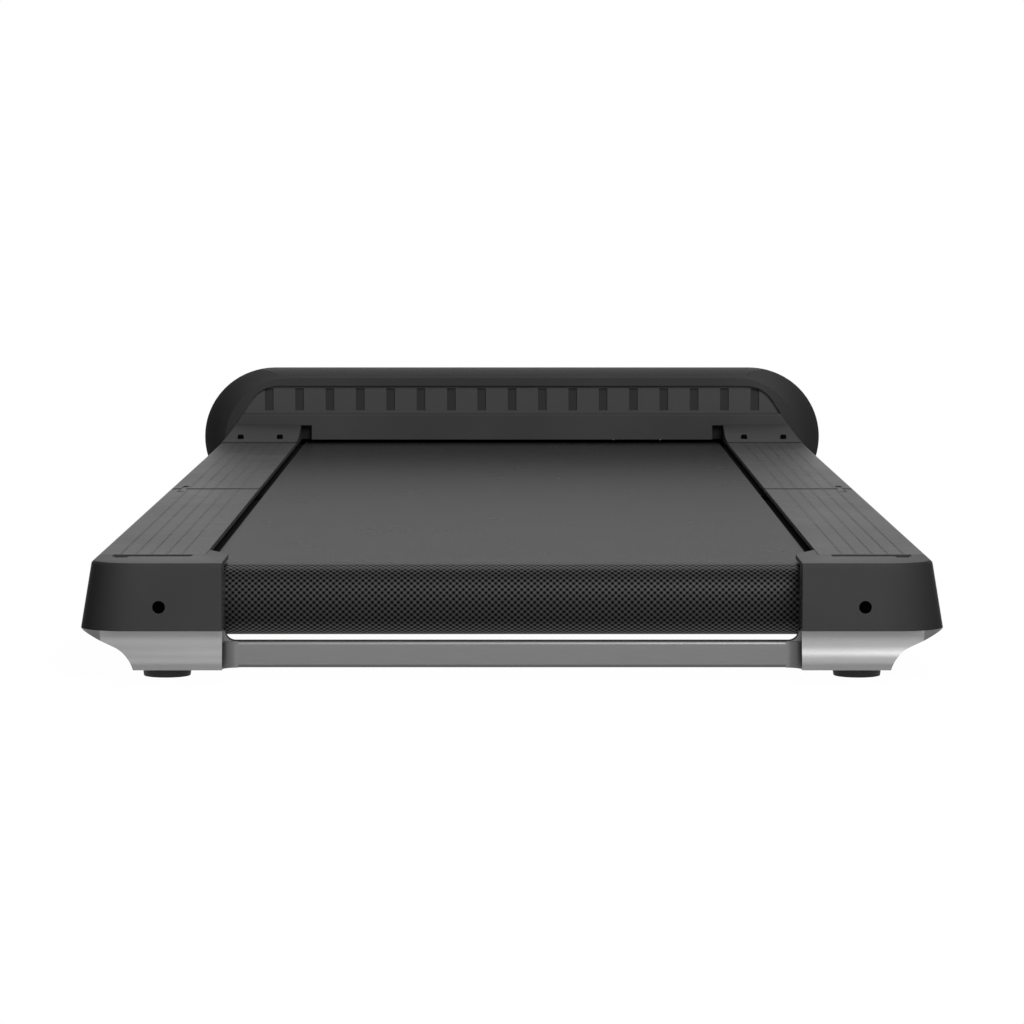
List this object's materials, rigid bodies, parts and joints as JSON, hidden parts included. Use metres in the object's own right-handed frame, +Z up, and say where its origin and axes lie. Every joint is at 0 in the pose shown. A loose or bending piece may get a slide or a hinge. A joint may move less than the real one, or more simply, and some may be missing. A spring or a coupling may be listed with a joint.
{
  "type": "folding walking pad",
  "caption": "Low folding walking pad with grooved foot rails, a rounded motor hood with a slotted rear panel, a textured belt, rear caps on silver foot brackets and a lift bar.",
  "frame": {"origin": "point on the floor under the middle of the unfolded pad", "axes": "+Y along the belt towards the motor hood, +Z up, +X to the right as seen from the tail"},
  "size_m": [0.5586, 1.432, 0.1302],
  "materials": {
    "black_plastic": "satin, fine grained",
    "dark_gloss": "gloss",
    "black_steel": "powder coated",
    "bright_steel": "turned",
    "silver": "satin",
    "grey_metal": "satin, dark",
    "black_rubber": "matt",
    "belt": "woven diamond texture",
    "board": "black film",
    "circuit": "satin"
  },
  "bodies": {
    "front_frame": {"front_side_tube_left": "black_steel", "front_side_tube_right": "black_steel", "front_cross_tubes": "black_steel", "front_deck_board": "board", "front_deck_cushions": "black_rubber", "front_rail_cover_left": "black_plastic", "front_rail_cover_right": "black_plastic", "fold_pins_front": "bright_steel", "hood_upper_shell": "black_plastic", "hood_base_pan": "black_plastic", "hood_vent_panel": "black_plastic", "hood_rear_band": "black_plastic", "rail_end_screws": "black_steel", "display_window": "dark_gloss", "display_board": "circuit", "mount_plate": "black_steel", "motor_body": "black_steel", "motor_cradle": "black_steel", "drive_belt": "black_rubber", "controller_board": "circuit", "controller_heat_sink": "black_steel", "power_inlet": "black_plastic", "switch_frame": "black_plastic", "front_roller_axle": "bright_steel", "wheel_forks": "black_steel", "wheel_axles": "bright_steel", "front_feet": "black_rubber", "middle_feet_front": "black_rubber", "walking_belt": "belt"},
    "front_roller": {"front_roller_tube": "bright_steel", "front_roller_bearings": "bright_steel", "front_roller_pulley": "black_plastic"},
    "motor_rotor": {"motor_shaft": "bright_steel", "motor_armature": "black_steel", "motor_pulley": "black_plastic"},
    "left_wheel": {"transport_wheel_left": "black_rubber"},
    "right_wheel": {"transport_wheel_right": "black_rubber"},
    "rocker": {"power_rocker": "black_plastic"},
    "fold_links": {"fold_link_left": "black_steel", "fold_link_right": "black_steel"},
    "rear_frame": {"rear_side_tube_left": "black_steel", "rear_side_tube_right": "black_steel", "rear_cross_tubes": "black_steel", "rear_deck_board": "board", "rear_deck_cushions": "black_rubber", "rear_rail_cover_left": "black_plastic", "rear_rail_cover_right": "black_plastic", "fold_pins_rear": "bright_steel", "rear_cap_left": "black_plastic", "rear_cap_right": "black_plastic", "rear_bracket_left": "silver", "rear_bracket_right": "silver", "lift_bar": "grey_metal", "rear_feet": "black_rubber", "middle_feet_rear": "black_rubber", "rear_roller_axle": "bright_steel"},
    "rear_roller": {"rear_roller_tube": "bright_steel", "rear_roller_bearings": "bright_steel"},
    "left_bolt": {"tension_bolt_left": "black_steel"},
    "right_bolt": {"tension_bolt_right": "black_steel"}
  },
  "joints": [
    {"name": "front_fold", "type": "hinge", "parent": "front_frame", "child": "fold_links", "pos_m": [0, -0.097, 0.0591], "axis": [-1, 0, 0], "range_deg": [0, 90], "deforming": ["walking_belt"]},
    {"name": "rear_fold", "type": "hinge", "parent": "fold_links", "child": "rear_frame", "pos_m": [0, -0.135, 0.0591], "axis": [-1, 0, 0], "range_deg": [0, 90], "deforming": ["walking_belt"]},
    {"name": "front_roller_spin", "type": "hinge", "parent": "front_frame", "child": "front_roller", "pos_m": [0, 0.54, 0.045], "axis": [1, 0, 0], "continuous": true},
    {"name": "rear_roller_spin", "type": "hinge", "parent": "rear_frame", "child": "rear_roller", "pos_m": [0, -0.668, 0.045], "axis": [1, 0, 0], "continuous": true},
    {"name": "motor_spin", "type": "hinge", "parent": "front_frame", "child": "motor_rotor", "pos_m": [-0.2, 0.62, 0.0731], "axis": [1, 0, 0], "continuous": true},
    {"name": "left_wheel_spin", "type": "hinge", "parent": "front_frame", "child": "left_wheel", "pos_m": [-0.15, 0.686, 0.021], "axis": [1, 0, 0], "continuous": true},
    {"name": "right_wheel_spin", "type": "hinge", "parent": "front_frame", "child": "right_wheel", "pos_m": [0.15, 0.686, 0.021], "axis": [1, 0, 0], "continuous": true},
    {"name": "rocker_tip", "type": "hinge", "parent": "front_frame", "child": "rocker", "pos_m": [0.15, 0.706, 0.057], "axis": [1, 0, 0], "range_deg": [-8, 8]},
    {"name": "left_bolt_turn", "type": "hinge", "parent": "rear_frame", "child": "left_bolt", "pos_m": [-0.21, -0.69, 0.045], "axis": [0, 1, 0], "range_deg": [-180, 180]},
    {"name": "right_bolt_turn", "type": "hinge", "parent": "rear_frame", "child": "right_bolt", "pos_m": [0.21, -0.69, 0.045], "axis": [0, 1, 0], "range_deg": [-180, 180]}
  ],
  "couplings": [
    {"joint": "rear_fold", "follows": "front_fold", "ratio": 1},
    {"joint": "front_roller_spin", "follows": "motor_spin", "ratio": 0.36102},
    {"joint": "rear_roller_spin", "follows": "motor_spin", "ratio": 0.36102}
  ]
}
